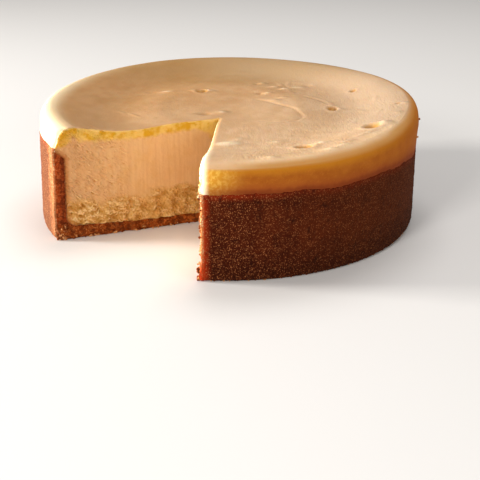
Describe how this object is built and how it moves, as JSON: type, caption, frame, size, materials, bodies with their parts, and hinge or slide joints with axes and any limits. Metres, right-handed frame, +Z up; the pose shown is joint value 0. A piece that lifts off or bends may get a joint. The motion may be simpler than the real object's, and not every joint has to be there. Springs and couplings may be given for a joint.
{
  "type": "baked cheesecake",
  "caption": "Round baked cheesecake in a crumb crust with one wedge cut out, its pale filling showing at both cut faces.",
  "frame": {"origin": "middle of the cake at its foot, on the surface it stands on", "axes": "+Z up; the missing wedge opens towards -Y, a little to -X"},
  "size_m": [0.2287, 0.2286, 0.0704],
  "materials": {
    "baked_crumb": "dry baked crumb, reddish brown, rough, with fine pale grains",
    "baked_filling": "satin baked cream filling, pale tan skin over a golden zone, paler and torn on the cut"
  },
  "bodies": {
    "root": {"crumb_crust": "baked_crumb", "cheese_filling": "baked_filling"}
  },
  "joints": []
}
